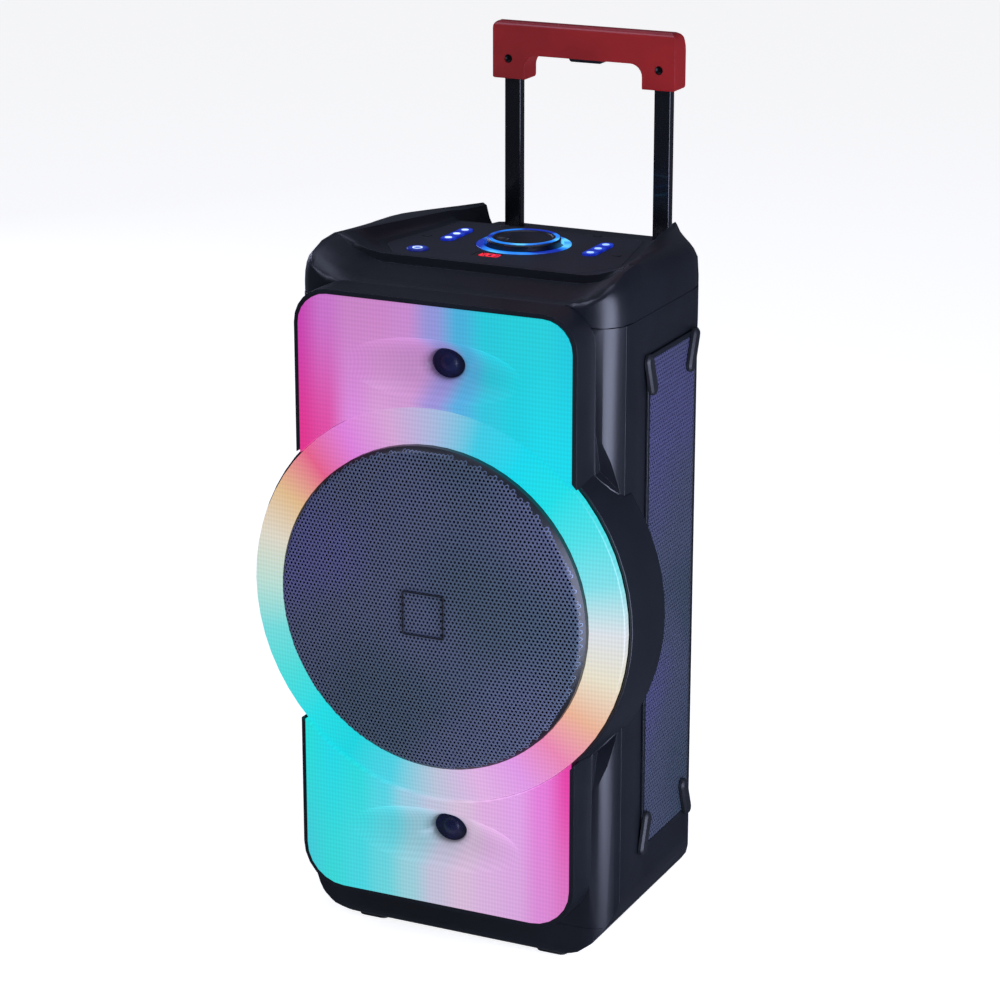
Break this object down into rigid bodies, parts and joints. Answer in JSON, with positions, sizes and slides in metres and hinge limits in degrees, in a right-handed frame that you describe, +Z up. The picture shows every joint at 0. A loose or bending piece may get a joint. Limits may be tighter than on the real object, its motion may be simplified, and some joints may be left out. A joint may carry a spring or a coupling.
{
  "type": "trolley party speaker",
  "caption": "Tall battery party speaker with a light ring around the woofer, light panels with horn tweeters, a control deck, a telescopic pull handle and rear wheels",
  "frame": {"origin": "on the floor, under the middle of the overall width and depth", "axes": "+X to the right as seen by someone facing the front grille, +Y from the front grille towards the back, +Z up along the cabinet's height"},
  "size_m": [0.385, 0.364, 0.809],
  "materials": {
    "black_abs": "fine spark-eroded texture, satin black",
    "deck_plastic": "fine-grained dark grey",
    "red_grip_plastic": "satin dark red",
    "light_diffuser": "frosted translucent, lit from behind",
    "perforated_steel": "painted perforated sheet",
    "tube_steel": "black semi-gloss coating",
    "cast_driver_metal": "dark cast and pressed metal",
    "paper_cone": "dull coated pulp",
    "circuit_board": "green solder mask",
    "rubber": "dull moulded rubber",
    "tyre_rubber": "dull moulded rubber",
    "steel_rod": "bright drawn rod",
    "key_light": "translucent, lit blue-white",
    "display_glass": "dark red window over lit digits",
    "battery_wrap": "blue shrink wrap",
    "tweeter_dome": "deep blue-black dome and plate"
  },
  "bodies": {
    "cabinet": {"front_shell": "black_abs", "rear_shell": "black_abs", "base_tray": "black_abs", "top_cap": "black_abs", "woofer_drum": "black_abs", "bass_port": "black_abs", "charge_inlet": "black_abs", "handle_sleeve_left": "black_abs", "handle_sleeve_right": "black_abs", "grille_badge": "black_abs", "control_panel": "deck_plastic", "rear_io_panel": "deck_plastic", "ring_light_lens": "light_diffuser", "upper_light_lens": "light_diffuser", "lower_light_lens": "light_diffuser", "woofer_grille": "perforated_steel", "side_grille_left": "perforated_steel", "side_grille_right": "perforated_steel", "ring_led_board": "circuit_board", "upper_led_board": "circuit_board", "lower_led_board": "circuit_board", "control_board": "circuit_board", "amplifier_board": "circuit_board", "woofer_basket": "cast_driver_metal", "woofer_cone": "paper_cone", "upper_tweeter": "tweeter_dome", "lower_tweeter": "tweeter_dome", "battery_pack": "battery_wrap", "wheel_axle": "steel_rod", "display_window": "display_glass", "dial_light_ring": "key_light", "front_foot_left": "rubber", "mic_socket_left": "rubber", "side_foot_left_upper_front": "rubber", "side_foot_left_upper_rear": "rubber", "side_foot_left_lower_front": "rubber", "side_foot_left_lower_rear": "rubber", "front_foot_right": "rubber", "mic_socket_right": "rubber", "side_foot_right_upper_front": "rubber", "side_foot_right_upper_rear": "rubber", "side_foot_right_lower_front": "rubber", "side_foot_right_lower_rear": "rubber"},
    "handle": {"handle_tube_left": "tube_steel", "handle_tube_right": "tube_steel", "handle_grip": "red_grip_plastic"},
    "handle_release": {"release_button": "black_abs"},
    "wheel_left": {"wheel_hub_left": "black_abs", "wheel_tyre_left": "tyre_rubber"},
    "wheel_right": {"wheel_hub_right": "black_abs", "wheel_tyre_right": "tyre_rubber"},
    "dial": {"volume_dial": "deck_plastic"},
    "power_key": {"power_button": "key_light"},
    "rocker": {"power_rocker": "rubber"},
    "key_left_front_body": {"key_left_front": "key_light"},
    "key_left_middle_body": {"key_left_middle": "key_light"},
    "key_left_rear_body": {"key_left_rear": "key_light"},
    "key_right_front_body": {"key_right_front": "key_light"},
    "key_right_middle_body": {"key_right_middle": "key_light"},
    "key_right_rear_body": {"key_right_rear": "key_light"}
  },
  "joints": [
    {"name": "handle_slide", "type": "slide", "parent": "cabinet", "child": "handle", "axis": [0, 0, 1], "range_m": [-0.142, 0]},
    {"name": "release_press", "type": "slide", "parent": "handle", "child": "handle_release", "axis": [0, 0, 1], "range_m": [0, 0.0035], "stiffness_N_per_m": 900},
    {"name": "wheel_left_spin", "type": "hinge", "parent": "cabinet", "child": "wheel_left", "pos_m": [-0.073, 0.147, 0.03], "axis": [1, 0, 0], "continuous": true},
    {"name": "wheel_right_spin", "type": "hinge", "parent": "cabinet", "child": "wheel_right", "pos_m": [0.073, 0.147, 0.03], "axis": [1, 0, 0], "continuous": true},
    {"name": "volume_turn", "type": "hinge", "parent": "cabinet", "child": "dial", "pos_m": [0, 0.027, 0.6295], "axis": [0, 0, 1], "continuous": true},
    {"name": "power_key_press", "type": "slide", "parent": "cabinet", "child": "power_key", "axis": [0, 0, -1], "range_m": [0, 0.001], "stiffness_N_per_m": 600},
    {"name": "mains_rocker_tilt", "type": "hinge", "parent": "cabinet", "child": "rocker", "pos_m": [0, 0.1752, 0.33], "axis": [1, 0, 0], "range_deg": [-12, 0]},
    {"name": "key_left_front_press", "type": "slide", "parent": "cabinet", "child": "key_left_front_body", "axis": [0, 0, -1], "range_m": [0, 0.001], "stiffness_N_per_m": 600},
    {"name": "key_left_middle_press", "type": "slide", "parent": "cabinet", "child": "key_left_middle_body", "axis": [0, 0, -1], "range_m": [0, 0.001], "stiffness_N_per_m": 600},
    {"name": "key_left_rear_press", "type": "slide", "parent": "cabinet", "child": "key_left_rear_body", "axis": [0, 0, -1], "range_m": [0, 0.001], "stiffness_N_per_m": 600},
    {"name": "key_right_front_press", "type": "slide", "parent": "cabinet", "child": "key_right_front_body", "axis": [0, 0, -1], "range_m": [0, 0.001], "stiffness_N_per_m": 600},
    {"name": "key_right_middle_press", "type": "slide", "parent": "cabinet", "child": "key_right_middle_body", "axis": [0, 0, -1], "range_m": [0, 0.001], "stiffness_N_per_m": 600},
    {"name": "key_right_rear_press", "type": "slide", "parent": "cabinet", "child": "key_right_rear_body", "axis": [0, 0, -1], "range_m": [0, 0.001], "stiffness_N_per_m": 600}
  ]
}
